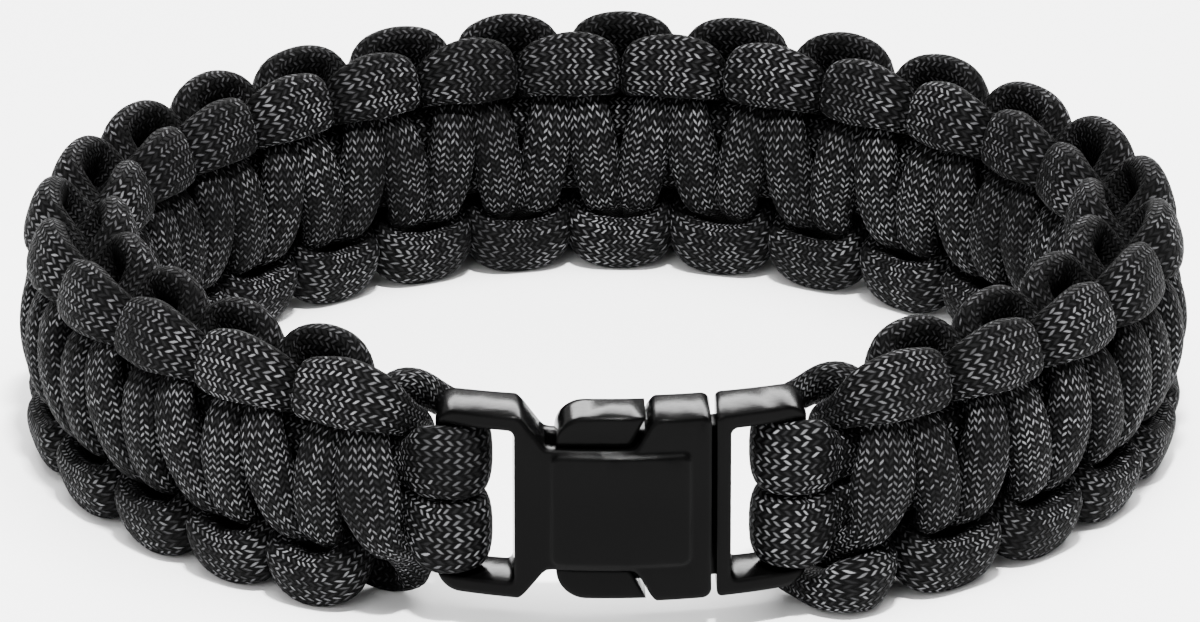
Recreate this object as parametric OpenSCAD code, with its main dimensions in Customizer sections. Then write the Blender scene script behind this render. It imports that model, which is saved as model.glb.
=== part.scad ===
// Bracelet of knotted cord with a curved side-release buckle.
// It rests on its lower edge: Z points up along the wrist, the buckle faces -Y,
// and the origin is under the middle of the ring, on the surface it rests on.

/* [Ring] */
// Radius of the strap's middle line, halfway between its widest and narrowest
ring_r = 38.2; // [34:0.1:44]
// How much wider the ring is across the wrist, as a change of radius
ring_oval = 0.7; // [0:0.1:1.5]
// How far the front, back and sides stand out from a plain oval
ring_square = 0.5; // [0.2:0.1:0.8]

/* [Cord] */
// Width of a weave cord where it lies across the strap
cord_w = 4; // [3.6:0.1:4.3]
// Thickness of a weave cord where it lies across the strap
cord_t = 3; // [2.6:0.1:3.2]
// Width of a core strand inside the weave
core_w = 3.8; // [3.6:0.1:4]
// Thickness of a core strand inside the weave
core_t = 3.4; // [3:0.1:3.8]
// Space left between cords that press on each other
cord_gap = 0.1; // [0.05:0.05:0.3]

/* [Weave] */
// Wanted distance along the strap from one crossing to the next
knot_pitch = 4.37; // [4.25:0.01:4.6]
// Strap from the buckle's middle to the first crossing, on the socket side
start_bare = 17.6; // [17.4:0.1:19]
// Strap from the buckle's middle to the last crossing, on the plug side
end_bare = 18; // [17.2:0.1:19]
// How far the knots halfway round have slid towards the socket
back_slide = 1.4; // [0:0.2:2]
// How far the lower edge of the first knots is pulled towards the socket
start_lean = 4.2; // [0:0.2:4.6]

/* [Buckle] */
// Height of the buckle, across the strap
buckle_h = 14; // [13.6:0.1:15]
// Thickness of the buckle in the middle
buckle_t = 5; // [4.8:0.1:5.6]
// Length of the buckle over both ends, measured straight
buckle_l = 26.8; // [26.4:0.1:27.4]
// Diameter of the bars that the cord loops over
bar_d = 1.8; // [1.6:0.1:2]
// Height of the rails beside the strap slots
rail_h = 1.1; // [0.9:0.1:1.3]
// Height of the waist between the side buttons
waist_h = 9.2; // [8.4:0.1:9.6]
// Length of the slanted end of the waist beside the socket's strap slot
waist_run = 1.8; // [1.2:0.1:2.2]
// Height by which the blank panel stands out from the front
panel_rise = 0.3; // [0.15:0.05:0.5]
// Thickness of the arms that carry the side buttons
arm_t = 2.4; // [2:0.1:2.6]
// Thickness of the side buttons
button_t = 3.8; // [3:0.1:4.2]
// Running gap between the plug and the socket
buckle_gap = 0.15; // [0.1:0.05:0.25]

/* [Hidden] */
cord_black = "#202022";
core_black = "#29292c";
buckle_black = "#121214";
buckle_grey = "#1a1a1c";

// Distance of a weave cord and of a core strand from the core's middle
stack = (core_t + cord_t) / 2 + cord_gap;
core_z = core_w / 2 + cord_gap / 2;

// Middle line of the strap, seen from above, as a closed curve. Angle 0 is the
// front and the angle grows towards -X. The curve is set so that the bracelet is
// centred between the panel in front and the crossings at the back.
function mid_r(a) = ring_r - ring_oval * cos(2 * a) + ring_square * cos(4 * a);
centre_y = (mid_r(180) + stack + cord_t / 2 - mid_r(0) - buckle_t / 2 - panel_rise) / 2;
function mid_at(a) = mid_r(a) * [-sin(a), -cos(a)] - [0, centre_y];
function unit(v) = v / norm(v);

// Length along that line against the angle, and what is found with it
arc_step = 2;
arc_table = [for (a = 0, s = 0; a <= 360;
                  s = s + norm(mid_at(a + arc_step) - mid_at(a)), a = a + arc_step) [s, a]];
strap_len = arc_table[len(arc_table) - 1][0];
function angle_at(s) = lookup(s, arc_table);
function out_at(s) = let (a = angle_at(s), t = unit(mid_at(a + 1) - mid_at(a - 1))) [-t.y, t.x];

// An even number of crossings, evenly spread, and the place of a step of the weave.
// The first crossing is step 0.5, and the edge turns are the whole steps.
weave_len = strap_len - start_bare - end_bare;
crossings = 2 * round((weave_len / knot_pitch + 1) / 2);
pitch = weave_len / (crossings - 1);
function along(u) = start_bare + pitch * (u - 0.5) - back_slide * pow(sin(180 * u / crossings), 2);

// Steps over which the pull on the lower edge rises and fades
lean_steps = 14;
function lean_at(u) = u <= 0 || u >= lean_steps ? 0 : start_lean * sin(180 * u / lean_steps);

// Route of a weave cord from the middle of an edge turn to the middle of its
// crossing. Columns: step along in pitches, step across in core widths and in
// cord widths, step out in stacks, tilt of the second size from the edge
// towards the crossing's face, first size in cord widths, second size in
// cord thicknesses.
ROUTE = [
    [0.00, 1.00,  0.90, -0.90, 18, 0.62, 1.72],
    [0.58, 1.00,  0.86, -0.80, 20, 0.58, 1.62],
    [0.75, 1.00,  0.32,  0.00, 24, 0.48, 0.70],
    [0.64, 1.00, -0.08,  0.86, 64, 0.84, 0.68],
    [0.50, 0.00,  0.00,  1.00, 90, 1.05, 1.00]];
crossing_row = len(ROUTE) - 1;

// Height of the core's middle, from which the edge turns reach down to the surface
strap_z = ROUTE[0][1] * core_w + ROUTE[0][2] * cord_w
    + cos(ROUTE[0][4]) * ROUTE[0][6] * cord_t / 2;

// A place on a cord: [along, across, out, direction of second size, sizes]
function strap_place(u, across, out, dir, w, t) =
    [along(u) - lean_at(u) * (0.5 - across / buckle_h), across, out * stack,
     dir, w * cord_w, t * cord_t];
function route_place(turn, way, side, face, r) =
    strap_place(turn + way * r[0], side * (r[1] * core_w + r[2] * cord_w), face * r[3],
                [side * cos(r[4]), face * sin(r[4])], r[5], r[6]);

// Places of a cord from one turn to another. Face is 1 for the cord that crosses
// on the outside, which turns at the upper edge on even steps, and -1 for the other.
function turn_side(turn, face) = face * (turn % 2 == 0 ? 1 : -1);
function half_turn(turn, way, face) =
    [for (i = [0 : crossing_row - 1])
        route_place(turn, way, turn_side(turn, face), face, ROUTE[way < 0 ? crossing_row - i : i])];
function turns(first, last, face) =
    [for (turn = [first : last], way = [-1, 1]) each half_turn(turn, way, face)];

// Ends of the cords, from the end crossing to the tail. Columns: step towards
// the buckle in pitches, step across in half heights of the buckle, step out in
// stacks, tilt of the second size from straight up towards the outside, first
// size in cord widths, second size in cord thicknesses.
OUTER_END = [
    [ 0.00,  0.00,  1.04,  90, 1.26, 0.96],
    [-0.13,  0.50,  0.87,  64, 1.00, 0.68],
    [-0.25,  0.725, 0.00,  24, 0.48, 0.70],
    [-0.05,  0.88, -0.82,  34, 0.58, 0.95],
    [ 0.22,  0.77, -1.32,  46, 0.58, 1.15],
    [ 0.52,  0.66, -1.56,  58, 0.60, 1.15],
    [ 0.82,  0.54, -1.68,  72, 0.60, 1.05],
    [ 1.05,  0.42, -1.70,  82, 0.60, 0.95]];
INNER_START = [
    [ 0.00,  0.00, -1.00,  -90, 1.05, 1.00],
    [-0.14, -0.50, -0.86, -116, 0.84, 0.68],
    [-0.26, -0.725, 0.00, -156, 0.46, 0.70],
    [-0.22, -0.93,  0.50, -150, 0.50, 0.90]];
INNER_END = [
    [ 0.00,  0.00, -1.00,  -90, 1.05, 1.00],
    [-0.14, -0.50, -0.86, -116, 0.84, 0.68],
    [-0.26, -0.725, 0.00, -156, 0.46, 0.70],
    [-0.10, -1.02,  0.76, -158, 0.58, 1.45],
    [ 0.18, -1.04,  0.94, -160, 0.64, 1.68],
    [ 0.46, -1.05,  0.94, -162, 0.66, 1.50],
    [ 0.70, -1.14,  0.50, -168, 0.76, 1.05],
    [ 0.82, -1.19, -0.30, -180, 0.78, 0.76],
    [ 0.94, -1.18, -1.05, -196, 0.70, 0.76],
    [ 1.16, -0.84, -1.46, -240, 0.68, 0.80]];
function end_places(rows, from, way) =
    [for (i = [0 : len(rows) - 1]) let (r = rows[way < 0 ? len(rows) - 1 - i : i])
        strap_place(from + way * r[0], r[1] * buckle_h / 2, r[2],
                    [cos(r[3]), sin(r[3])], r[4], r[5])];
function cord_places(start_rows, end_rows, face) =
    let (middle = turns(1, crossings - 1, face))
    concat(end_places(start_rows, 0.5, -1),
           [for (i = [1 : len(middle) - 1]) middle[i]],
           end_places(end_rows, crossings - 0.5, 1));

// Loop of a core strand over a bar. Columns: distance from the bar along the
// strap and out, both in core thicknesses, shift of the strand from its place
// in the weave to its place in the slot, size across the strap in core widths,
// other size in core thicknesses.
LOOP = [
    [ 1.60,  0.00, 0.00, 1.00, 1.00],
    [ 1.04,  0.04, 0.00, 1.00, 0.90],
    [ 0.62,  0.20, 0.10, 1.02, 0.76],
    [ 0.34,  0.48, 0.60, 1.22, 0.66],
    [ 0.06,  0.62, 1.00, 1.47, 0.64],
    [-0.38,  0.53, 1.00, 1.47, 0.64],
    [-0.60,  0.25, 1.00, 1.47, 0.64],
    [-0.61, -0.20, 1.00, 1.47, 0.64],
    [-0.42, -0.52, 1.00, 1.47, 0.64],
    [-0.16, -0.64, 1.00, 1.42, 0.63],
    [ 0.02, -0.66, 0.95, 1.32, 0.60]];
core_step = 6;

// Ring of points round a place, and a closed skin over all rings of a cord
function world(p) = let (n = out_at(p[0]), c = mid_at(angle_at(p[0])))
    [c.x + p[2] * n.x, c.y + p[2] * n.y, strap_z + p[1]];
function world_dir(p) = let (n = out_at(p[0])) [p[3][1] * n.x, p[3][1] * n.y, p[3][0]];
function ring(c, t, d, w, h, sides) =
    let (up = unit(d - (d * t) * t), across = cross(t, up))
    [for (k = [0 : sides - 1]) let (a = 360 * (k + 0.5) / sides)
        c + across * cos(a) * w / 2 + up * sin(a) * h / 2];
function rings(places, sides) =
    let (c = [for (p = places) world(p)], last = len(places) - 1, cap = 0.62,
         t = [for (i = [0 : last]) unit(c[min(i + 1, last)] - c[max(i - 1, 0)])])
    [for (i = [-1 : last + 1])
        let (j = max(0, min(i, last)), p = places[j], k = i == j ? 1 : cap,
             shift = (i < 0 ? -1 : i > last ? 1 : 0) * p[5] * 0.25)
        ring(c[j] + t[j] * shift, t[j], world_dir(p), k * p[4], k * p[5], sides)];

module cord(places, sides) {
    r = rings(places, sides);
    last = len(r) - 1;
    side_faces = [for (i = [0 : last - 1], k = [0 : sides - 1])
        let (a = i * sides + k, b = i * sides + (k + 1) % sides)
        each [[a, b, b + sides], [a, b + sides, a + sides]]];
    ends = [[for (k = [sides - 1 : -1 : 0]) k], [for (k = [0 : sides - 1]) last * sides + k]];
    polyhedron(points = [for (s = r) each s], faces = concat(side_faces, ends), convexity = 20);
}

module weave_cord_outer() {
    color(cord_black) cord(cord_places(OUTER_END, OUTER_END, 1), 6);
}

module weave_cord_inner() {
    color(cord_black) cord(cord_places(INNER_START, INNER_END, -1), 6);
}

// Core strands. The slot side of a loop faces the buckle's middle.
slot_z = (buckle_h - 2 * rail_h) / 2;
loop_z = slot_z / 2 - cord_gap;
function loop_place(r, end, side) =
    [(end > 0 ? bar_s : strap_len - bar_s) + end * r[0] * core_t,
     side * (core_z + r[2] * (loop_z - core_z)), r[1] * core_t];
function loop_size(r) = [min(r[3] * core_w, 2 * core_z + 2 * r[2] * (loop_z - core_z) - cord_gap),
                         r[4] * core_t];
function core_places(side) =
    let (first = bar_s + 1.66 * core_t + core_step, last = strap_len - first,
         n = ceil((last - first) / core_step),
         start = [for (i = [len(LOOP) - 1 : -1 : 0]) LOOP[i]],
         up = [0, 1])
    concat(
        [for (r = start) let (p = loop_place(r, 1, side), s = loop_size(r))
            [p[0], p[1], p[2], [1, 0], s[1], s[0]]],
        [for (i = [0 : n]) [first + (last - first) * i / n, side * core_z, 0, [1, 0], core_t, core_w]],
        [for (r = LOOP) let (p = loop_place(r, -1, side), s = loop_size(r))
            [p[0], p[1], p[2], [1, 0], s[1], s[0]]]);

module core_cord_upper() {
    color(core_black) cord(core_places(1), 8);
}

module core_cord_lower() {
    color(core_black) cord(core_places(-1), 8);
}

// Buckle. Its middle line follows the front of the ring, and its faces are
// curved so that it gets thinner towards both ends.
end_x = buckle_l / 2;
front_y = mid_r(0) + centre_y;
bend_r = pow(mid_r(0), 2) / (mid_r(0) - 4 * ring_oval + 16 * ring_square);
face_r = bend_r * 0.9;
back_r = bend_r * 1.08;
bar_x = end_x - bar_d / 2;
bar_s = bend_r * asin(bar_x / bend_r) * PI / 180;
slot_x = end_x * 0.583;
mouth_x = end_x * 0.477;
neck_x = end_x * 0.165;
hip_x = -end_x * 0.55;
tip_x = -end_x * 0.36;
neck_run = waist_run * 0.72;
corner_r = buckle_h * 0.12;
hollow_h = arm_t + 2 * buckle_gap;
collar_z = buckle_h / 2 - rail_h;

// Things seen from the front are drawn in X and Z and reach through the buckle
module from_front(depth = 40) {
    translate([0, 0, strap_z]) rotate([90, 0, 0])
        linear_extrude(height = depth) children();
}

module round_rect(x0, x1, z, r) {
    translate([x0 + r, -z + r]) square([x1 - x0 - 2 * r, 2 * z - 2 * r]);
    translate([x0, -z + r]) square([x1 - x0, 2 * z - 2 * r]);
    translate([x0 + r, -z]) square([x1 - x0 - 2 * r, 2 * z]);
    for (x = [x0 + r, x1 - r], y = [-z + r, z - r])
        translate([x, y]) circle(r = r, $fn = 48);
}

// Body between the curved faces, with a chosen rise of the front
module curved_plate(rise) {
    z0 = strap_z - buckle_h;
    difference() {
        translate([0, face_r - front_y - buckle_t / 2, z0])
            cylinder(r = face_r + rise, h = 2 * buckle_h, $fn = 180);
        translate([0, back_r - front_y + buckle_t / 2, z0 - 1])
            cylinder(r = back_r, h = 2 * buckle_h + 2, $fn = 180);
    }
}

module slot_outline(way) {
    x0 = way < 0 ? -end_x - 1 : slot_x;
    x1 = way < 0 ? -slot_x : end_x + 1;
    round_rect(x0, x1, slot_z, 0.5);
}

module end_bar(way) {
    intersection() {
        translate([way * bar_x, bend_r - front_y - sqrt(bend_r * bend_r - bar_x * bar_x),
                   strap_z - slot_z - rail_h / 2])
            cylinder(d = bar_d, h = 2 * slot_z + rail_h, $fn = 40);
        from_front(2 * front_y) round_rect(-end_x, end_x, buckle_h / 2, corner_r);
    }
}

// Outline with each corner cut back by r and eased by one more point
function eased(points, r) = let (n = len(points))
    [for (i = [0 : n - 1]) let (b = points[i],
        p = b + r * unit(points[(i + n - 1) % n] - b), q = b + r * unit(points[(i + 1) % n] - b))
        each [p, (p + q) / 4 + b / 2, q]];

// Cut beside the waist, with slanted ends that run out at the full height
module waist_cut(side) {
    z = waist_h / 2;
    top = buckle_h / 2;
    polygon([for (p = eased([[hip_x - 2, top + 2], [hip_x - 1.5, top + 0.5], [hip_x, top - 0.05],
                             [hip_x + waist_run, z], [neck_x - neck_run, z],
                             [neck_x, top - 0.05], [neck_x + 1.5, top + 0.5],
                             [neck_x + 2, top + 2]], 0.45))
        [p.x, side * p.y]]);
}

module socket_outline() {
    difference() {
        round_rect(-end_x, mouth_x, buckle_h / 2, corner_r * 0.4);
        difference() {
            translate([-end_x - 1, -buckle_h]) square([corner_r + 1, 2 * buckle_h]);
            round_rect(-end_x, 0, buckle_h / 2, corner_r);
        }
        slot_outline(-1);
        waist_cut(1);
        waist_cut(-1);
    }
}

// Hollow of the socket, open at the mouth and at both sides of the waist
module socket_hollow() {
    floor_x = hip_x + waist_run;
    intersection() {
        translate([floor_x, -2 * front_y, strap_z - buckle_h])
            cube([mouth_x - floor_x + 1, 2 * front_y, 2 * buckle_h]);
        difference() {
            translate([0, bend_r - front_y, strap_z - collar_z])
                cylinder(r = bend_r + hollow_h / 2, h = 2 * collar_z, $fn = 180);
            translate([0, bend_r - front_y, strap_z - collar_z - 1])
                cylinder(r = bend_r - hollow_h / 2, h = 2 * collar_z + 2, $fn = 180);
        }
    }
}

module panel_outline() {
    round_rect(-end_x * 0.385, end_x * 0.365, waist_h / 2 - 0.35, 0.6);
}

module buckle_socket() {
    color(buckle_black) {
        difference() {
            intersection() {
                curved_plate(0);
                from_front(2 * front_y) socket_outline();
            }
            socket_hollow();
        }
        end_bar(-1);
        intersection() {
            difference() {
                curved_plate(panel_rise);
                curved_plate(-0.2);
            }
            from_front(2 * front_y) panel_outline();
        }
    }
}

// Side button, seen from the front: round at its tip, slanted beside the shoulder
module button_outline(side, low) {
    button_r = 2.2;
    shoulder_gap = 0.55;
    top = buckle_h / 2;
    slope = neck_run / (top - waist_h / 2);
    end_at = neck_x - shoulder_gap;
    intersection() {
        union() {
            translate([tip_x + button_r, side * (top - button_r)]) circle(r = button_r, $fn = 60);
            polygon([[tip_x + button_r, side * top], [end_at, side * top],
                     [end_at - slope * (top - low), side * low], [tip_x + button_r, side * low]]);
        }
        translate([tip_x - 1, side > 0 ? low : -top - 1]) square([buckle_h, top - low + 1]);
    }
}

// Arm with its side button, seen from the front
module arm_outline(side) {
    root_z = collar_z - buckle_gap;
    arm_h = 1.7;
    start_x = neck_x - neck_run - 1.5;
    translate([start_x, side > 0 ? root_z - arm_h : -root_z]) square([slot_x - start_x, arm_h]);
    button_outline(side, root_z - arm_h);
}

module plug_outline() {
    difference() {
        round_rect(mouth_x + 0.4, end_x, buckle_h / 2, corner_r * 0.25);
        difference() {
            translate([end_x - corner_r, -buckle_h]) square([corner_r + 1, 2 * buckle_h]);
            round_rect(0, end_x, buckle_h / 2, corner_r);
        }
        slot_outline(1);
    }
}

// Curved sheet of one thickness about the buckle's middle line
module curved_sheet(t) {
    difference() {
        translate([0, bend_r - front_y, strap_z - buckle_h])
            cylinder(r = bend_r + t / 2, h = 2 * buckle_h, $fn = 180);
        translate([0, bend_r - front_y, strap_z - buckle_h - 1])
            cylinder(r = bend_r - t / 2, h = 2 * buckle_h + 2, $fn = 180);
    }
}

module buckle_plug() {
    root_z = collar_z - buckle_gap;
    color(buckle_grey) {
        intersection() {
            curved_plate(0);
            from_front(2 * front_y) plug_outline();
        }
        end_bar(1);
        intersection() {
            curved_sheet(arm_t);
            from_front(2 * front_y) {
                arm_outline(1);
                arm_outline(-1);
                translate([neck_x, -waist_h * 0.12]) square([slot_x - neck_x - 0.2, waist_h * 0.24]);
                translate([mouth_x - 1.2, -root_z]) square([slot_x - mouth_x + 1, 2 * root_z]);
            }
        }
        intersection() {
            curved_sheet(button_t);
            from_front(2 * front_y) {
                button_outline(1, waist_h / 2 + buckle_gap);
                button_outline(-1, waist_h / 2 + buckle_gap);
            }
        }
    }
}

buckle_socket();
buckle_plug();
core_cord_upper();
core_cord_lower();
weave_cord_outer();
weave_cord_inner();
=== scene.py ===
"""Knotted cord bracelet with a curved side-release buckle: braided sheaths on the
cord routes, a moulded finish on the buckle, a pale floor, studio light and a camera."""
from math import cos, radians, sin

import bpy
import numpy as np
from bpy.props import FloatProperty, FloatVectorProperty, IntProperty, PointerProperty
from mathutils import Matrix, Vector


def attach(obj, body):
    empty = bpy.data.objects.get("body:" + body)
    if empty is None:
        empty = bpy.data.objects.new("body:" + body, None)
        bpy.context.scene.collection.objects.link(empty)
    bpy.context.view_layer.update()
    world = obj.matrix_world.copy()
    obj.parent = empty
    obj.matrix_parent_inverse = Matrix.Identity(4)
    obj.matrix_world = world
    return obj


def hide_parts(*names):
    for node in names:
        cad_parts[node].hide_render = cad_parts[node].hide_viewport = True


bl_info = {
    "name": "Knotted cord bracelet",
    "version": (1, 0, 0),
    "blender": (4, 5, 0),
    "location": "3D View > Sidebar > Bracelet",
    "description": "Braided cords and moulded buckle of a knotted wrist bracelet",
    "category": "Add Mesh",
}

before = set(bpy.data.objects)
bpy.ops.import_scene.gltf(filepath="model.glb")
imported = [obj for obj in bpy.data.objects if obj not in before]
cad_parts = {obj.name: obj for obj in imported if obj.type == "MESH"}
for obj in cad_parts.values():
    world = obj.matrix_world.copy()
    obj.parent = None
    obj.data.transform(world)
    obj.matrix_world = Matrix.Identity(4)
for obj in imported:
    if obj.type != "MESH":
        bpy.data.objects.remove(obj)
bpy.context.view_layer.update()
MM = 0.001


def linear(hex_colour):
    """Linear RGB of an sRGB hex colour: ((c + 0.055) / 1.055) ** 2.4 above the toe."""
    srgb = [int(hex_colour[i:i + 2], 16) / 255 for i in (1, 3, 5)]
    return tuple(c / 12.92 if c <= 0.04045 else ((c + 0.055) / 1.055) ** 2.4 for c in srgb)


# User's sizes

class CordSizes(bpy.types.PropertyGroup):
    """Sizes of the cords and of the grid on them"""
    weave_width: FloatProperty(
        name="Weave cord width", description="Width of a weave cord where it lies across the strap",
        default=4.0 * MM, min=3.6 * MM, max=4.3 * MM, precision=5, unit="LENGTH")
    weave_thickness: FloatProperty(
        name="Weave cord thickness", description="Thickness of a weave cord across the strap",
        default=3.0 * MM, min=2.6 * MM, max=3.2 * MM, precision=5, unit="LENGTH")
    core_width: FloatProperty(
        name="Core strand width", description="Width of a core strand inside the weave",
        default=3.8 * MM, min=3.6 * MM, max=4.0 * MM, precision=5, unit="LENGTH")
    core_thickness: FloatProperty(
        name="Core strand thickness", description="Thickness of a core strand inside the weave",
        default=3.4 * MM, min=3.0 * MM, max=3.8 * MM, precision=5, unit="LENGTH")
    plumpness: FloatProperty(
        name="Plumpness", description="Share of the cord's size that the soft sheath fills",
        default=1.0, min=0.8, max=1.1, subtype="FACTOR")
    sides: IntProperty(
        name="Faces round a cord", description="Faces round each cord's section",
        default=24, min=12, max=32)
    steps: IntProperty(
        name="Steps between places", description="Rings between two places of the route",
        default=6, min=2, max=8)


class BraidLook(bpy.types.PropertyGroup):
    """Colours and scale of the braided sheath"""
    thread: FloatVectorProperty(
        name="Thread", description="Colour of the dyed thread",
        default=linear("#020202"), size=3, min=0, max=1, subtype="COLOR")
    # Painted highlight: colour painted on the crests of the floats as glints
    painted_glint: FloatVectorProperty(
        name="Glint", description="Colour of the crests that shine",
        default=linear("#666668"), size=3, min=0, max=1, subtype="COLOR")
    pitch: FloatProperty(
        name="Stitch pitch", description="Distance along the cord from one stitch to the next",
        default=0.5 * MM, min=0.3 * MM, max=2 * MM, precision=5, unit="LENGTH")
    columns: IntProperty(
        name="Stitch columns", description="Columns of stitches round the cord, an even number",
        default=30, min=16, max=56)


class BuckleLook(bpy.types.PropertyGroup):
    """Finish of the moulded buckle"""
    plastic: FloatVectorProperty(
        name="Plastic", description="Colour of the moulded plastic",
        default=linear("#020202"), size=3, min=0, max=1, subtype="COLOR")
    edge_radius: FloatProperty(
        name="Edge radius", description="Rounding of the moulded edges",
        default=0.5 * MM, min=0.1 * MM, max=0.6 * MM, precision=5, unit="LENGTH")


class StageLook(bpy.types.PropertyGroup):
    """Floor and light"""
    floor: FloatVectorProperty(
        name="Floor", description="Colour of the floor",
        default=linear("#fcfcfc"), size=3, min=0, max=1, subtype="COLOR")
    daylight: FloatProperty(
        name="Room light", description="Strength of the light from all round",
        default=0.76, min=0, max=4)


# Strap's route
#
# Sizes in millimetres, and angles in degrees unless said otherwise. A route is
# given in strap coordinates: distance along the strap, across it and out from
# its middle. The routes follow the solids', with the sizes of soft cord, which
# swells and is squeezed, and with sagging lower turns.

# Middle line of the strap, round the wrist
RING_R = 38.2
RING_OVAL = 0.7
RING_SQUARE = 0.5
ANGLE_STEP = 2.0
TANGENT_REACH = 0.0175  # radians to each side

# Room between cords, and how far the two loops on a bar press together
CORD_GAP = 0.1
LOOP_PRESS = 0.3

# Buckle: height, length and thickness, raised field, rails beside the slots, bars
BUCKLE_H = 14.0
BUCKLE_L = 26.8
BUCKLE_T = 5.0
PANEL_RISE = 0.3
RAIL_H = 1.1
BAR_D = 1.8

# Weave: pitch aimed at, and bare strap on each side of the buckle's middle
KNOT_PITCH = 4.37
START_BARE = 17.6
END_BARE = 18.0

# The weave slides along at the back, and its lower edge is pulled near the start
BACK_SLIDE = 1.4
START_LEAN = 4.2
LEAN_STEPS = 14

# Distance between the places of a core strand inside the weave
CORE_STEP = 6.0

# From the middle of an edge turn to the middle of its crossing. Columns: step
# along in pitches, across in core widths and in cord widths, out in stacks,
# tilt of the second size, first size in cord widths, second in thicknesses.
ROUTE = np.array([
    [0.00, 1.00,  0.90, -0.90, 18, 0.62, 1.72],
    [0.58, 1.00,  0.80, -0.80, 20, 0.60, 1.50],
    [0.75, 1.00,  0.32,  0.00, 24, 0.70, 0.94],
    [0.64, 1.00, -0.08,  0.86, 64, 0.82, 0.70],
    [0.50, 0.00,  0.00,  1.00, 90, 0.97, 1.00]])

# The lower turns are flatter and sag: the first rows of the route there
LOW_TURN = np.array([
    [0.00, 1.00,  0.97, -0.90, 18, 0.62, 1.50],
    [0.63, 1.00,  0.82, -0.76, 20, 0.70, 1.42]])
LOW_ROUTE = np.concatenate([LOW_TURN, ROUTE[len(LOW_TURN):]])

# Ends of the cords, from the end crossing to the tail. Columns: step towards
# the buckle in pitches, across in half heights of the buckle, out in stacks,
# tilt, first size in cord widths, second in thicknesses.
OUTER_END = np.array([
    [ 0.00,  0.00,  1.04,  90, 1.26, 0.96],
    [-0.13,  0.50,  0.87,  64, 1.00, 0.68],
    [-0.25,  0.725, 0.00,  24, 0.64, 0.90],
    [-0.05,  0.88, -0.82,  34, 0.58, 0.95],
    [ 0.22,  0.77, -1.32,  46, 0.58, 1.15],
    [ 0.52,  0.66, -1.56,  58, 0.60, 1.15],
    [ 0.82,  0.54, -1.68,  72, 0.60, 1.05],
    [ 1.05,  0.42, -1.70,  82, 0.60, 0.95]])
INNER_START = np.array([
    [ 0.00,  0.00, -1.00,  -90, 1.05, 1.00],
    [-0.14, -0.50, -0.86, -116, 0.84, 0.68],
    [-0.26, -0.725, 0.00, -156, 0.60, 0.84]])
INNER_TAIL = np.array([
    [-0.10, -1.02,  0.76, -158, 0.58, 1.45],
    [ 0.18, -1.04,  0.94, -160, 0.64, 1.68],
    [ 0.46, -1.05,  0.94, -162, 0.66, 1.50],
    [ 0.70, -1.14,  0.50, -168, 0.76, 1.05],
    [ 0.82, -1.19, -0.30, -180, 0.78, 0.76],
    [ 0.94, -1.18, -1.05, -196, 0.70, 0.76],
    [ 1.16, -0.84, -1.46, -240, 0.68, 0.80]])
INNER_END = np.concatenate([INNER_START, INNER_TAIL])

# Loop of a core strand over a bar. Columns: distance from the bar along the
# strap and out, in core thicknesses, shift from the strand's place in the
# weave to its place in the slot, size across in core widths, other size in
# core thicknesses.
LOOP = np.array([
    [ 1.60,  0.00, 0.00, 1.00, 1.00],
    [ 1.04,  0.04, 0.00, 1.00, 0.90],
    [ 0.62,  0.20, 0.10, 1.12, 0.76],
    [ 0.34,  0.48, 0.60, 1.37, 0.66],
    [ 0.06,  0.62, 1.00, 1.47, 0.64],
    [-0.38,  0.53, 1.00, 1.47, 0.64],
    [-0.60,  0.25, 1.00, 1.47, 0.64],
    [-0.61, -0.20, 1.00, 1.47, 0.64],
    [-0.42, -0.52, 1.00, 1.47, 0.64],
    [-0.16, -0.64, 1.00, 1.42, 0.63],
    [ 0.02, -0.66, 0.95, 1.32, 0.60]])


def columns(table):
    """The columns of a table, or of a stack of tables, as separate arrays."""
    return np.moveaxis(table, -1, 0)


def ring_radius(angle):
    """Radius of the strap's middle line: r - oval cos 2a + square cos 4a."""
    return RING_R - RING_OVAL * np.cos(2 * angle) + RING_SQUARE * np.cos(4 * angle)


def whole_turn(route):
    """A turn from its first crossing on: the route backwards, then forwards, and
    without the last crossing, which is the next turn's first."""
    return np.concatenate([route[:0:-1], route[:-1]])


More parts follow.
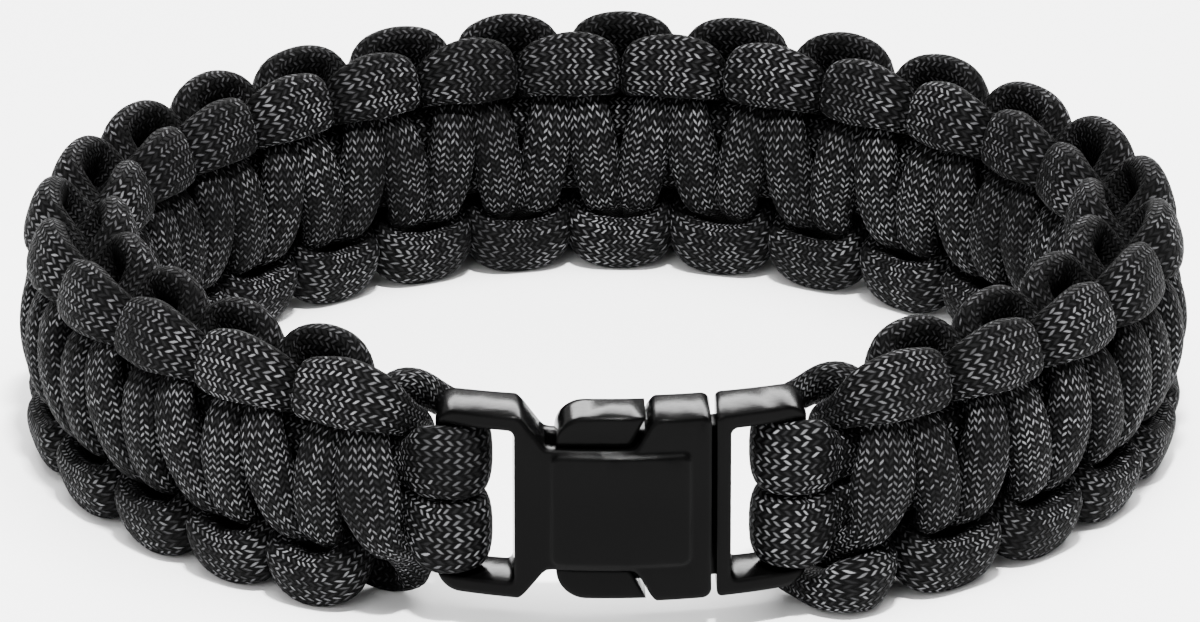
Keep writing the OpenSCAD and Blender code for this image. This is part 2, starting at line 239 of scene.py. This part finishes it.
class Strap:
    """Middle line of the strap as a table of length against angle, 0 at the buckle."""

    def __init__(self, sizes):
        self.cord_w = sizes.weave_width / MM
        self.cord_t = sizes.weave_thickness / MM
        self.core_w = sizes.core_width / MM
        self.core_t = sizes.core_thickness / MM
        self.stack = (self.core_t + self.cord_t) / 2 + CORD_GAP
        self.core_z = (self.core_w + CORD_GAP) / 2

        # The ring is centred between the weave's back and the buckle's front
        self.centre_y = (ring_radius(np.pi) + self.stack + self.cord_t / 2
                         - ring_radius(0) - BUCKLE_T / 2 - PANEL_RISE) / 2

        # Height of the strap's middle, at which a turn of the route rests on the floor
        _, core_share, cord_share, _, tilt, _, second = ROUTE[0]
        self.strap_z = (core_share * self.core_w + cord_share * self.cord_w
                        + cos(radians(tilt)) * second * self.cord_t / 2)

        self.angle = np.radians(np.arange(0, 360 + ANGLE_STEP, ANGLE_STEP))
        steps = np.diff(self.middle(self.angle), axis=0)
        self.length = np.concatenate([[0], np.cumsum(np.linalg.norm(steps, axis=1))])
        self.total = self.length[-1]
        weave = self.total - START_BARE - END_BARE
        self.crossings = 2 * int(round((weave / KNOT_PITCH + 1) / 2))
        self.pitch = weave / (self.crossings - 1)

    def middle(self, angle):
        """Point of the middle line at an angle: radius times (-sin a, -cos a)."""
        r = ring_radius(angle)
        return np.stack([-r * np.sin(angle), -r * np.cos(angle) - self.centre_y], axis=-1)

    def along(self, step):
        """Length at a step of the weave, with a sine squared slide towards the socket."""
        slide = BACK_SLIDE * np.sin(np.pi * step / self.crossings) ** 2
        return START_BARE + self.pitch * (step - 0.5) - slide

    def lean(self, step):
        """Pull on the lower edge: a half sine over the first steps, else none."""
        inside = (step > 0) & (step < LEAN_STEPS)
        return np.where(inside, START_LEAN * np.sin(np.pi * step / LEAN_STEPS), 0)

    def place(self, step, across, out, tilt_across, tilt_out, first, second):
        """Places of a weave cord, in mm: along, across and out, then the direction of
        the second size across and out, then both sizes."""
        along = self.along(step) - self.lean(step) * (0.5 - across / BUCKLE_H)
        return np.stack([along, across, out * self.stack, tilt_across, tilt_out,
                         first * self.cord_w, second * self.cord_t], axis=-1)

    def turns(self, face):
        """All edge turns of a weave cord, on the lower and the upper edge in turn. Its
        face, 1 or -1, says on which side of the core it crosses."""
        turn = np.arange(1, self.crossings)[:, None]
        side = face * np.where(turn % 2 == 0, 1, -1)
        rows = np.where(side[..., None] > 0, whole_turn(ROUTE), whole_turn(LOW_ROUTE))
        way = np.repeat([-1, 1], len(ROUTE) - 1)
        step, core_share, cord_share, out, tilt, first, second = columns(rows)
        across = side * (core_share * self.core_w + cord_share * self.cord_w)
        tilt = np.radians(tilt)
        places = self.place(turn + way * step, across, face * out,
                            side * np.cos(tilt), face * np.sin(tilt), first, second)
        return np.concatenate(places)[1:]

    def cord_end(self, rows, step, way):
        """Places of one cord end: from a step of the weave on for way 1, up to it for -1."""
        towards, across, out, tilt, first, second = columns(rows[::way])
        tilt = np.radians(tilt)
        return self.place(step + way * towards, across * BUCKLE_H / 2, out,
                          np.cos(tilt), np.sin(tilt), first, second)

    def weave_cord(self, start, end, face):
        """Places of a whole weave cord: its start, all its turns and its end."""
        return np.concatenate([self.cord_end(start, 0.5, -1), self.turns(face),
                               self.cord_end(end, self.crossings - 0.5, 1)])

    def bar_length(self):
        """Length from the buckle's middle to a bar, on a circle that bends as the middle
        line does there. Its radius is r^2 / (r - 4 oval + 16 square)."""
        front = ring_radius(0)
        bend_r = front ** 2 / (front - 4 * RING_OVAL + 16 * RING_SQUARE)
        return bend_r * np.arcsin((BUCKLE_L - BAR_D) / 2 / bend_r)

    def core_loop(self, side, way, bar):
        """Places of a core strand's loop over a bar, off the bar for way 1, else onto it.
        The two loops on a bar share its slot, so each is no wider than its half allows."""
        away, out, share, wide, thick = columns(LOOP[::-way])
        slot_z = (BUCKLE_H / 2 - RAIL_H) / 2 - CORD_GAP
        loop_z = self.core_z + share * (slot_z - self.core_z)
        across = np.minimum(wide * self.core_w, 2 * loop_z + LOOP_PRESS)
        one = np.ones_like(away)
        return np.stack([bar + way * away * self.core_t, side * loop_z, out * self.core_t,
                         one, 0 * one, thick * self.core_t, across], axis=-1)

    def core_strand(self, side):
        """Places of a core strand: loop over one bar, even steps round, other loop."""
        bar = self.bar_length()
        first = bar + LOOP[0, 0] * self.core_t + CORE_STEP
        count = int(np.ceil((self.total - 2 * first) / CORE_STEP))
        along = np.linspace(first, self.total - first, count + 1)
        one = np.ones_like(along)
        middle = np.stack([along, side * self.core_z * one, 0 * one, one, 0 * one,
                           self.core_t * one, self.core_w * one], axis=-1)
        return np.concatenate([self.core_loop(side, 1, bar), middle,
                               self.core_loop(side, -1, self.total - bar)])

    def world(self, places):
        """Centres and directions of the second size in world axes, in mm."""
        along, across, out, tilt_across, tilt_out = columns(places)[:5]
        angle = np.interp(along, self.length, self.angle)
        tangent = unit(self.middle(angle + TANGENT_REACH) - self.middle(angle - TANGENT_REACH))
        outward = np.stack([-tangent[:, 1], tangent[:, 0]], axis=-1)
        centre = np.column_stack([self.middle(angle) + out[:, None] * outward,
                                  self.strap_z + across])
        return centre, np.column_stack([tilt_out[:, None] * outward, tilt_across])


# Sheaths of the cords, in millimetres

# Half-sphere ends: the angles from the cord's end ring to the tip, a ring at each
CAP_ANGLES = np.radians([20, 40, 60, 76, 86])[:, None]

# Power that squares a section a little, 1 being an ellipse
SQUARING = 0.8

# Soft unevenness along a cord: share of its size, and range of the wave lengths
SWELL = 0.012
SWELL_WAVES = (5, 14)

# Painted shade inside the weave, darkening its glints: its lowest share of light, the
# distance from the strap's middle surface up to which it holds, and the distance
# over which it grows to 1
DIMMEST = 0.15
DIM_REACH = 1.2
DIM_FADE = 2.4

# Slots of a sheath's materials
BRAIDED, MELTED = 0, 1


def unit(vectors):
    """Rows divided by their lengths."""
    return vectors / np.linalg.norm(vectors, axis=1, keepdims=True)


def smooth_rows(rows, steps):
    """A cubic curve through the rows, with the given number of steps between two. The
    slope at a row is that of both neighbours, weighted by the distance to the other.
    From a to b, with slopes p and q, it is (2t^3 - 3t^2 + 1) a + (t^3 - 2t^2 + t) p
    + (3t^2 - 2t^3) b + (t^3 - t^2) q."""
    gap = np.linalg.norm(np.diff(rows[:, :3], axis=0), axis=1)[:, None]
    slope = np.diff(rows, axis=0) / gap
    inner = (slope[:-1] * gap[1:] + slope[1:] * gap[:-1]) / (gap[:-1] + gap[1:])
    slopes = np.concatenate([slope[:1], inner, slope[-1:]])
    t = (np.arange(steps) / steps)[None, :, None]
    a, b = rows[:-1, None], rows[1:, None]
    p, q = (slopes[:-1] * gap)[:, None], (slopes[1:] * gap)[:, None]
    curve = ((2 * t ** 3 - 3 * t ** 2 + 1) * a + (t ** 3 - 2 * t ** 2 + t) * p
             + (3 * t ** 2 - 2 * t ** 3) * b + (t ** 3 - t ** 2) * q)
    return np.concatenate([curve.reshape(-1, rows.shape[1]), rows[-1:]])


def uneven(gone, seed):
    """Swelling of a cord with the length gone: 1 + 0.012 times the sum of three sines."""
    rng = np.random.default_rng(seed)
    phase, wave = rng.uniform(0, 2 * np.pi, 3), rng.uniform(*SWELL_WAVES, 3)
    return 1 + SWELL * np.sin(2 * np.pi * gone / wave + phase).sum(axis=1)[:, None]


def cord_rings(strap, places, sizes, seed):
    """Rings along a cord: centre, direction of travel, direction of the second size,
    both sizes and the length gone. Travel is averaged with weights 1, 2 and 1."""
    rows = smooth_rows(places, sizes.steps)
    centre, second = strap.world(rows)
    travel = np.gradient(centre, axis=0)
    travel[1:-1] = (travel[:-2] + 2 * travel[1:-1] + travel[2:]) / 4
    step = np.linalg.norm(np.diff(centre, axis=0), axis=1)
    gone = np.concatenate([[0], np.cumsum(step)])[:, None]
    size = rows[:, 5:] * uneven(gone, seed) * sizes.plumpness
    return {"centre": centre, "travel": unit(travel), "second": second,
            "size": size, "gone": gone}


def with_ends(rings):
    """Rings with half-sphere ends, which step out by sin b and shrink by cos b."""
    caps = []
    for at, way in ((0, -1), (-1, 1)):
        ring = {key: values[at] for key, values in rings.items()}
        reach = way * ring["size"].min() / 2 * np.sin(CAP_ANGLES)
        cap = {key: np.tile(values, (len(CAP_ANGLES), 1)) for key, values in ring.items()}
        cap["centre"] += reach * ring["travel"]
        cap["gone"] += reach
        cap["size"] *= np.cos(CAP_ANGLES)
        caps.append(cap)
    return {key: np.concatenate([caps[0][key][::-1], values, caps[1][key]])
            for key, values in rings.items()}


def squared(wave):
    """A sine or cosine swollen towards its corners: its sign times its size to the 0.8."""
    return np.sign(wave) * np.abs(wave) ** SQUARING


def ring_points(rings, sides):
    """Points of a squared ellipse, w/2 cos a and h/2 sin a with both waves squared,
    laid across the travel with h along the second direction."""
    travel, second = rings["travel"], rings["second"]
    up = unit(second - (second * travel).sum(axis=1, keepdims=True) * travel)
    across = np.cross(travel, up)
    angle = 2 * np.pi * (np.arange(sides) + 0.5) / sides
    width, height = rings["size"][:, :1], rings["size"][:, 1:]
    return (rings["centre"][:, None]
            + across[:, None] * (squared(np.cos(angle)) * width / 2)[..., None]
            + up[:, None] * (squared(np.sin(angle)) * height / 2)[..., None])


def tube_faces(count, sides):
    """Quads between neighbouring rings, and a lid on each end. All face outwards."""
    ring = np.arange(count - 1)[:, None] * sides
    corner = np.arange(sides)[None]
    after = (corner + 1) % sides
    quads = np.stack([ring + corner, ring + sides + corner, ring + sides + after, ring + after],
                     axis=-1)
    last = (count - 1) * sides
    lids = [list(range(sides)), list(range(last, last + sides))[::-1]]
    return quads.reshape(-1, 4).tolist() + lids


def tube_uv(points, gone):
    """UV of each corner of the faces: length along the cord in mm, and share of the way
    round by distance, so that stitches keep their width."""
    side = np.linalg.norm(np.roll(points, -1, axis=1) - points, axis=2)
    share = np.concatenate([np.zeros((len(points), 1)), np.cumsum(side, axis=1)], axis=1)
    share /= share[:, -1:]
    uv = np.stack([np.broadcast_to(gone, share.shape), share], axis=-1)
    quads = np.stack([uv[:-1, :-1], uv[1:, :-1], uv[1:, 1:], uv[:-1, 1:]], axis=2)
    return np.concatenate([quads.reshape(-1, 2), uv[0, :-1], uv[-1, :-1][::-1]])


def light_reach(strap, points, dimmed):
    """Painted shade: how far light reaches the sheath, which darkens its painted glints.
    With e the distance from the strap's middle surface and t = (|e| - 1.2) / 2.4
    between 0 and 1, it is 0.15 + 0.85 (3 t^2 - 2 t^3). It is 1 at the bare ends, and
    all over a core strand, which shows only there."""
    x, y = points[..., 0], points[..., 1] + strap.centre_y
    angle = np.arctan2(-x, -y) % (2 * np.pi)
    distance = np.abs(np.hypot(x, y) - ring_radius(angle))
    t = np.clip((distance - DIM_REACH) / DIM_FADE, 0, 1)
    along = np.interp(angle, strap.angle, strap.length)
    inside = dimmed & (along > START_BARE) & (along < strap.total - END_BARE)
    return np.where(inside, DIMMEST + (1 - DIMMEST) * (3 * t ** 2 - 2 * t ** 3), 1)


def sheath_mesh(name, strap, places, sizes, seed, dimmed):
    """A closed soft tube along a cord's places, with its ends in the melted slot. Its UV
    map is braid, and its attribute lit holds the painted shade, how far light reaches
    each point."""
    rings = with_ends(cord_rings(strap, places, sizes, seed))
    points = ring_points(rings, sizes.sides)
    faces = tube_faces(len(points), sizes.sides)
    mesh = bpy.data.meshes.new(name)
    mesh.from_pydata((points.reshape(-1, 3) * MM).tolist(), [], faces)
    layer = mesh.uv_layers.new(name="braid")
    layer.data.foreach_set("uv", tube_uv(points, rings["gone"]).ravel())
    lit = mesh.attributes.new("lit", "FLOAT", "POINT")
    lit.data.foreach_set("value", light_reach(strap, points, dimmed).ravel())
    mesh.shade_smooth()

    # The first cap's quads, the last cap's quads and both lids are melted
    capped = len(CAP_ANGLES) * sizes.sides
    slots = np.full(len(faces), BRAIDED, dtype=np.int32)
    slots[:capped] = MELTED
    slots[-capped - 2:] = MELTED
    mesh.polygons.foreach_set("material_index", slots)
    mesh.update()
    return mesh


# Materials

def add_node(tree, kind, inputs=(), out=0, **settings):
    """Adds a node with its settings, values and links, and returns one output, or
    the node itself where it has none."""
    node = tree.nodes.new(kind)
    for key, value in settings.items():
        setattr(node, key, value)
    for socket, value in dict(inputs).items():
        if isinstance(value, bpy.types.NodeSocket):
            tree.links.new(value, node.inputs[socket])
        else:
            node.inputs[socket].default_value = value
    return node.outputs[out] if node.outputs else node


def new_material(name, viewport):
    """A material with an empty tree, and the tree."""
    material = bpy.data.materials.new(name)
    material.use_nodes = True
    material.diffuse_color = (*viewport, 1)
    tree = material.node_tree
    tree.nodes.clear()
    return material, tree


def braided_nylon(look):
    """Dyed nylon sheath, braided from fine threads: near black, with short grey glints
    painted into its colour on the floats' crests, as painted highlights. Floats lie
    in columns round the cord and slant one way in even and the other in odd columns."""
    material, tree = new_material("braided_nylon_sheath", look.thread)
    uv = add_node(tree, "ShaderNodeUVMap", uv_map="braid")
    length = add_node(tree, "ShaderNodeSeparateXYZ", {0: uv}, out=0)
    round_share = add_node(tree, "ShaderNodeSeparateXYZ", {0: uv}, out=1)

    # Column of the float, and place across the column from -0.5 to 0.5
    column = add_node(tree, "ShaderNodeMath", {0: round_share, 1: float(look.columns)},
                      operation="MULTIPLY")
    column_no = add_node(tree, "ShaderNodeMath", {0: column}, operation="FLOOR")
    within = add_node(tree, "ShaderNodeMath", {0: column}, operation="FRACT")
    within = add_node(tree, "ShaderNodeMath", {0: within, 1: 0.5}, operation="SUBTRACT")

    # Stitch along the cord, and place over the float from -0.5 to 0.5. A float slants
    # by 0.6 of the pitch, and odd columns lie 0.26 of the pitch aside
    odd = add_node(tree, "ShaderNodeMath", {0: column_no, 1: 2.0}, operation="MODULO")
    lean = add_node(tree, "ShaderNodeMath", {0: odd, 1: 2.0, 2: -1.0}, operation="MULTIPLY_ADD")
    slant = add_node(tree, "ShaderNodeMath", {0: within, 1: lean}, operation="MULTIPLY")
    slant = add_node(tree, "ShaderNodeMath", {0: slant, 1: 0.6}, operation="MULTIPLY")
    aside = add_node(tree, "ShaderNodeMath", {0: odd, 1: 0.26, 2: slant}, operation="MULTIPLY_ADD")
    stitch = add_node(tree, "ShaderNodeMath", {0: length, 1: MM / look.pitch, 2: aside},
                      operation="MULTIPLY_ADD")
    stitch_no = add_node(tree, "ShaderNodeMath", {0: stitch}, operation="FLOOR")
    over = add_node(tree, "ShaderNodeMath", {0: stitch}, operation="FRACT")
    over = add_node(tree, "ShaderNodeMath", {0: over, 1: 0.5}, operation="SUBTRACT")

    # Crown of each float: 1 - 4 g^2, with g the place over the float, times 1 - 6 f^4,
    # with f the place across the column
    across = add_node(tree, "ShaderNodeMath", {0: over, 1: over}, operation="MULTIPLY")
    across = add_node(tree, "ShaderNodeMath", {0: across, 1: -4.0, 2: 1.0},
                      operation="MULTIPLY_ADD")
    ends = add_node(tree, "ShaderNodeMath", {0: within, 1: within}, operation="MULTIPLY")
    ends = add_node(tree, "ShaderNodeMath", {0: ends, 1: ends}, operation="MULTIPLY")
    ends = add_node(tree, "ShaderNodeMath", {0: ends, 1: -6.0, 2: 1.0},
                    operation="MULTIPLY_ADD")
    crown = add_node(tree, "ShaderNodeMath", {0: across, 1: ends}, operation="MULTIPLY")

    # Each float's painted highlight shines by its own amount, in patches of about 7 mm,
    # and is painted darker where light barely reaches it, as painted shade
    cell = add_node(tree, "ShaderNodeCombineXYZ", {0: column_no, 1: stitch_no})
    chance = add_node(tree, "ShaderNodeTexWhiteNoise", {"Vector": cell},
                      noise_dimensions="2D")
    place = add_node(tree, "ShaderNodeTexCoord", out=3)
    patch = add_node(tree, "ShaderNodeTexNoise", {"Vector": place, "Scale": 1 / (7 * MM),
                                                  "Detail": 2.0})
    painted_glint_amount = add_node(tree, "ShaderNodeMapRange", {"Value": crown, "From Min": 0.74},
                    interpolation_type="SMOOTHSTEP")
    spread = add_node(tree, "ShaderNodeMapRange", {"Value": chance, "From Min": 0.2,
                                                   "To Min": 0.03})
    cloud = add_node(tree, "ShaderNodeMapRange", {"Value": patch, "From Min": 0.35,
                                                  "From Max": 0.65, "To Min": 0.3})
    painted_glint_amount = add_node(tree, "ShaderNodeMath", {0: painted_glint_amount, 1: spread}, operation="MULTIPLY")
    painted_glint_amount = add_node(tree, "ShaderNodeMath", {0: painted_glint_amount, 1: cloud}, operation="MULTIPLY")
    # A faint painted sheen on every crown, under the painted glints
    painted_glint_amount = add_node(tree, "ShaderNodeMath", {0: crown, 1: 0.015, 2: painted_glint_amount},
                    operation="MULTIPLY_ADD")
    # Painted shade: the glints are darker where light barely reaches into the weave
    lit = add_node(tree, "ShaderNodeAttribute", out=2, attribute_name="lit")
    painted_glint_amount = add_node(tree, "ShaderNodeMath", {0: painted_glint_amount, 1: lit}, operation="MULTIPLY")
    # The painted highlights mix the highlight colour into the thread's colour
    colour = add_node(tree, "ShaderNodeMix", {0: painted_glint_amount, 6: (*look.thread, 1), 7: (*look.painted_glint, 1)},
                      out=2, data_type="RGBA")
    bump = add_node(tree, "ShaderNodeBump", {"Height": crown, "Distance": 0.08 * MM,
                                             "Strength": 0.9})
    surface = add_node(tree, "ShaderNodeBsdfPrincipled", {
        "Base Color": colour, "Roughness": 0.7, "IOR": 1.53, "Specular IOR Level": 0.02,
        "Normal": bump})
    add_node(tree, "ShaderNodeOutputMaterial", {"Surface": surface})
    return material


def melted_nylon(look):
    """Cord end sealed with a flame: fused black nylon, smooth and slightly lumpy."""
    material, tree = new_material("melted_nylon_end", look.thread)
    place = add_node(tree, "ShaderNodeTexCoord", out=3)
    lumps = add_node(tree, "ShaderNodeTexNoise", {"Vector": place, "Scale": 1 / (0.9 * MM),
                                                  "Detail": 2.0})
    bump = add_node(tree, "ShaderNodeBump", {"Height": lumps, "Distance": 0.25 * MM,
                                             "Strength": 0.8})
    surface = add_node(tree, "ShaderNodeBsdfPrincipled", {
        "Base Color": (*look.thread, 1), "Roughness": 0.45, "IOR": 1.53,
        "Specular IOR Level": 0.05, "Normal": bump})
    add_node(tree, "ShaderNodeOutputMaterial", {"Surface": surface})
    return material


def moulded_acetal(look):
    """Black acetal out of a polished mould: satin gloss that wanders a little over 4 mm,
    with a faint ripple where the plastic shrank and scuffs of 0.35 mm from wear."""
    material, tree = new_material("moulded_acetal_black", look.plastic)
    place = add_node(tree, "ShaderNodeTexCoord", out=3)
    sheen = add_node(tree, "ShaderNodeTexNoise", {"Vector": place, "Scale": 1 / (4 * MM),
                                                  "Detail": 3.0})
    scuff = add_node(tree, "ShaderNodeTexNoise", {"Vector": place, "Scale": 1 / (0.35 * MM),
                                                  "Detail": 4.0, "Roughness": 0.6})
    rough = add_node(tree, "ShaderNodeMapRange", {"Value": sheen, "From Min": 0.3,
                                                  "From Max": 0.7, "To Min": 0.12,
                                                  "To Max": 0.2})
    worn = add_node(tree, "ShaderNodeMapRange", {"Value": scuff, "From Min": 0.55,
                                                 "From Max": 0.8, "To Max": 0.12})
    rough = add_node(tree, "ShaderNodeMath", {0: rough, 1: worn}, operation="ADD")
    ripple = add_node(tree, "ShaderNodeMath", {0: scuff, 1: 0.12, 2: sheen},
                      operation="MULTIPLY_ADD")
    edge = add_node(tree, "ShaderNodeBevel", {"Radius": look.edge_radius}, samples=6)
    bump = add_node(tree, "ShaderNodeBump", {"Height": ripple, "Distance": 0.12 * MM,
                                             "Strength": 0.35, "Normal": edge})
    surface = add_node(tree, "ShaderNodeBsdfPrincipled", {
        "Base Color": (*look.plastic, 1), "Roughness": rough, "IOR": 1.48,
        "Specular IOR Level": 0.03, "Normal": bump})
    add_node(tree, "ShaderNodeOutputMaterial", {"Surface": surface})
    return material


def painted_board(look):
    """Matt painted board, pale, with a barely seen tone drift over half a metre."""
    material, tree = new_material("painted_board", look.floor)
    place = add_node(tree, "ShaderNodeTexCoord", out=3)
    drift = add_node(tree, "ShaderNodeTexNoise", {"Vector": place, "Scale": 2.0, "Detail": 1.0})
    shade = tuple(0.97 * c for c in look.floor)
    colour = add_node(tree, "ShaderNodeMix", {0: drift, 6: (*shade, 1), 7: (*look.floor, 1)},
                      out=2, data_type="RGBA")
    surface = add_node(tree, "ShaderNodeBsdfPrincipled", {
        "Base Color": colour, "Roughness": 0.9, "Specular IOR Level": 0.1})
    add_node(tree, "ShaderNodeOutputMaterial", {"Surface": surface})
    return material


# Stage, in metres and degrees

FLOOR_HALF = 4

# Softboxes: name, place, aim, width, height, watts
SOFTBOXES = (
    ("top_softbox", (0.05, -0.1, 0.75), (0, 0, 0), 0.7, 0.5, 15),
    ("small_lamp", (0.02, -0.27, 0.64), (0, 0, 0.01), 0.07, 0.03, 15),
    ("back_softbox", (0.1, 0.9, 0.42), (0, 0, 0), 0.9, 0.3, 21),
    ("front_softbox", (-0.35, -0.8, 0.5), (0, 0, 0.01), 0.5, 0.5, 4))

# Camera in line with the photograph: it looks down, stands a little to the left and
# is shifted to the left of its aim. Its lens and sensor are in millimetres.
CAMERA_DOWN = 20.96
CAMERA_LEFT = 1.99
CAMERA_AWAY = 0.740
CAMERA_AIM = (0, -1.0 * MM, 9.8 * MM)
CAMERA_SHIFT = 0.27 * MM
CAMERA_LENS = 293
CAMERA_SENSOR = 36
CAMERA_NEAR = 0.05


def add_object(scene, name, data):
    """An object of some data, linked to the scene."""
    piece = bpy.data.objects.new(name, data)
    scene.collection.objects.link(piece)
    return piece


def look_towards(piece, direction):
    """Turns a lamp or a camera so that it looks in a direction, its top upwards."""
    piece.rotation_euler = direction.to_track_quat("-Z", "Y").to_euler()


def add_floor(scene, look):
    """A square board under the ring."""
    half = FLOOR_HALF
    mesh = bpy.data.meshes.new("floor")
    mesh.from_pydata([(-half, -half, 0), (half, -half, 0), (half, half, 0), (-half, half, 0)],
                     [], [(0, 1, 2, 3)])
    mesh.materials.append(painted_board(look))
    floor = add_object(scene, "floor", mesh)


def add_lights(scene, look):
    """White light from all round, and the softboxes."""
    world = bpy.data.worlds.new("studio")
    world.use_nodes = True
    background = world.node_tree.nodes["Background"]
    background.inputs["Color"].default_value = (1, 1, 1, 1)
    background.inputs["Strength"].default_value = look.daylight
    scene.world = world
    for name, at, aim, width, height, watts in SOFTBOXES:
        data = bpy.data.lights.new(name, "AREA")
        data.shape = "RECTANGLE"
        data.size, data.size_y, data.energy = width, height, watts
        lamp = add_object(scene, name, data)
        lamp.location = at
        look_towards(lamp, Vector(aim) - Vector(at))


def add_camera(scene):
    """The camera, back from its aim against the line of sight."""
    down, left = radians(CAMERA_DOWN), radians(CAMERA_LEFT)
    sight = Vector((sin(left) * cos(down), cos(left) * cos(down), -sin(down)))
    right = Vector((cos(left), -sin(left), 0))
    data = bpy.data.cameras.new("camera")
    data.lens, data.sensor_width, data.clip_start = CAMERA_LENS, CAMERA_SENSOR, CAMERA_NEAR
    camera = add_object(scene, "camera", data)
    camera.location = Vector(CAMERA_AIM) - CAMERA_SHIFT * right - CAMERA_AWAY * sight
    look_towards(camera, sight)
    scene.camera = camera


# Operators

# Rounding of the buckle: distance at which its loose faces are joined, least angle
# of an edge that is rounded, in degrees, and steps of the rounding
JOIN_DISTANCE = 0.004 * MM
ROUNDED_ANGLE = 35
ROUNDING_STEPS = 3


def lay_sheath(context, name, node, places, seed, dimmed):
    """Makes one braided cord, with painted shade in the weave or not, in the place of its solid."""
    scene = context.scene
    strap = Strap(scene.bracelet_cords)
    mesh = sheath_mesh(name, strap, places(strap), scene.bracelet_cords, seed, dimmed)
    braided = bpy.data.materials.get("braided_nylon_sheath") or braided_nylon(scene.bracelet_braid)
    melted = bpy.data.materials.get("melted_nylon_end") or melted_nylon(scene.bracelet_braid)
    mesh.materials.append(braided)
    mesh.materials.append(melted)
    piece = add_object(scene, name, mesh)
    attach(piece, "root")
    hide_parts(node)


class BRACELET_OT_weave_cords(bpy.types.Operator):
    """Lay the two cords that are woven round the core"""
    bl_idname = "bracelet.weave_cords"
    bl_label = "Weave cords"

    def execute(self, context):
        lay_sheath(context, "outer_weave_sheath", "weave_cord_outer",
                   lambda strap: strap.weave_cord(OUTER_END, OUTER_END, 1), seed=3, dimmed=True)
        lay_sheath(context, "inner_weave_sheath", "weave_cord_inner",
                   lambda strap: strap.weave_cord(INNER_START, INNER_END, -1), seed=5, dimmed=True)
        return {"FINISHED"}


class BRACELET_OT_core_strands(bpy.types.Operator):
    """Lay the two core strands that loop over the buckle's bars"""
    bl_idname = "bracelet.core_strands"
    bl_label = "Core strands"

    def execute(self, context):
        lay_sheath(context, "upper_core_sheath", "core_cord_upper",
                   lambda strap: strap.core_strand(1), seed=7, dimmed=False)
        lay_sheath(context, "lower_core_sheath", "core_cord_lower",
                   lambda strap: strap.core_strand(-1), seed=9, dimmed=False)
        return {"FINISHED"}


class BRACELET_OT_buckle_finish(bpy.types.Operator):
    """Round the buckle's edges and give it its moulded finish"""
    bl_idname = "bracelet.buckle_finish"
    bl_label = "Buckle finish"

    def execute(self, context):
        look = context.scene.bracelet_buckle
        plastic = moulded_acetal(look)
        for name in ("buckle_socket", "buckle_plug"):
            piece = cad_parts[name]
            weld = piece.modifiers.new("join_faces", "WELD")
            weld.merge_threshold = JOIN_DISTANCE
            bevel = piece.modifiers.new("moulded_edges", "BEVEL")
            bevel.width = look.edge_radius
            bevel.segments = ROUNDING_STEPS
            bevel.limit_method = "ANGLE"
            bevel.angle_limit = radians(ROUNDED_ANGLE)
            bevel.use_clamp_overlap = True
            bevel.harden_normals = True
            for slot in piece.material_slots:
                slot.material = plastic
            piece.data.shade_smooth()
        return {"FINISHED"}


class BRACELET_OT_stage(bpy.types.Operator):
    """Set the floor, the studio light and the camera"""
    bl_idname = "bracelet.stage"
    bl_label = "Stage"

    def execute(self, context):
        scene = context.scene
        add_floor(scene, scene.bracelet_stage)
        add_lights(scene, scene.bracelet_stage)
        add_camera(scene)
        return {"FINISHED"}


GROUPS = {"bracelet_cords": CordSizes, "bracelet_braid": BraidLook,
          "bracelet_buckle": BuckleLook, "bracelet_stage": StageLook}
PIECES = (BRACELET_OT_weave_cords, BRACELET_OT_core_strands, BRACELET_OT_buckle_finish,
          BRACELET_OT_stage)


class BRACELET_PT_panel(bpy.types.Panel):
    """Buttons and sizes for the bracelet's pieces"""
    bl_label = "Bracelet"
    bl_idname = "BRACELET_PT_panel"
    bl_space_type = "VIEW_3D"
    bl_region_type = "UI"
    bl_category = "Bracelet"

    def draw(self, context):
        for kind in PIECES:
            self.layout.operator(kind.bl_idname)
        for group in GROUPS:
            box = self.layout.box()
            settings = getattr(context.scene, group)
            for name in settings.bl_rna.properties.keys():
                if name not in ("rna_type", "name"):
                    box.prop(settings, name)


CLASSES = (*GROUPS.values(), *PIECES, BRACELET_PT_panel)


def register():
    """Registers all classes, and the groups of settings on the scene."""
    for item in CLASSES:
        bpy.utils.register_class(item)
    for name, group in GROUPS.items():
        setattr(bpy.types.Scene, name, PointerProperty(type=group))


def unregister():
    """Takes the groups of settings and the classes away again."""
    for name in GROUPS:
        delattr(bpy.types.Scene, name)
    for item in reversed(CLASSES):
        bpy.utils.unregister_class(item)


def main():
    register()
    bpy.ops.bracelet.weave_cords()
    bpy.ops.bracelet.core_strands()
    bpy.ops.bracelet.buckle_finish()
    bpy.ops.bracelet.stage()


if __name__ == "__main__":
    main()
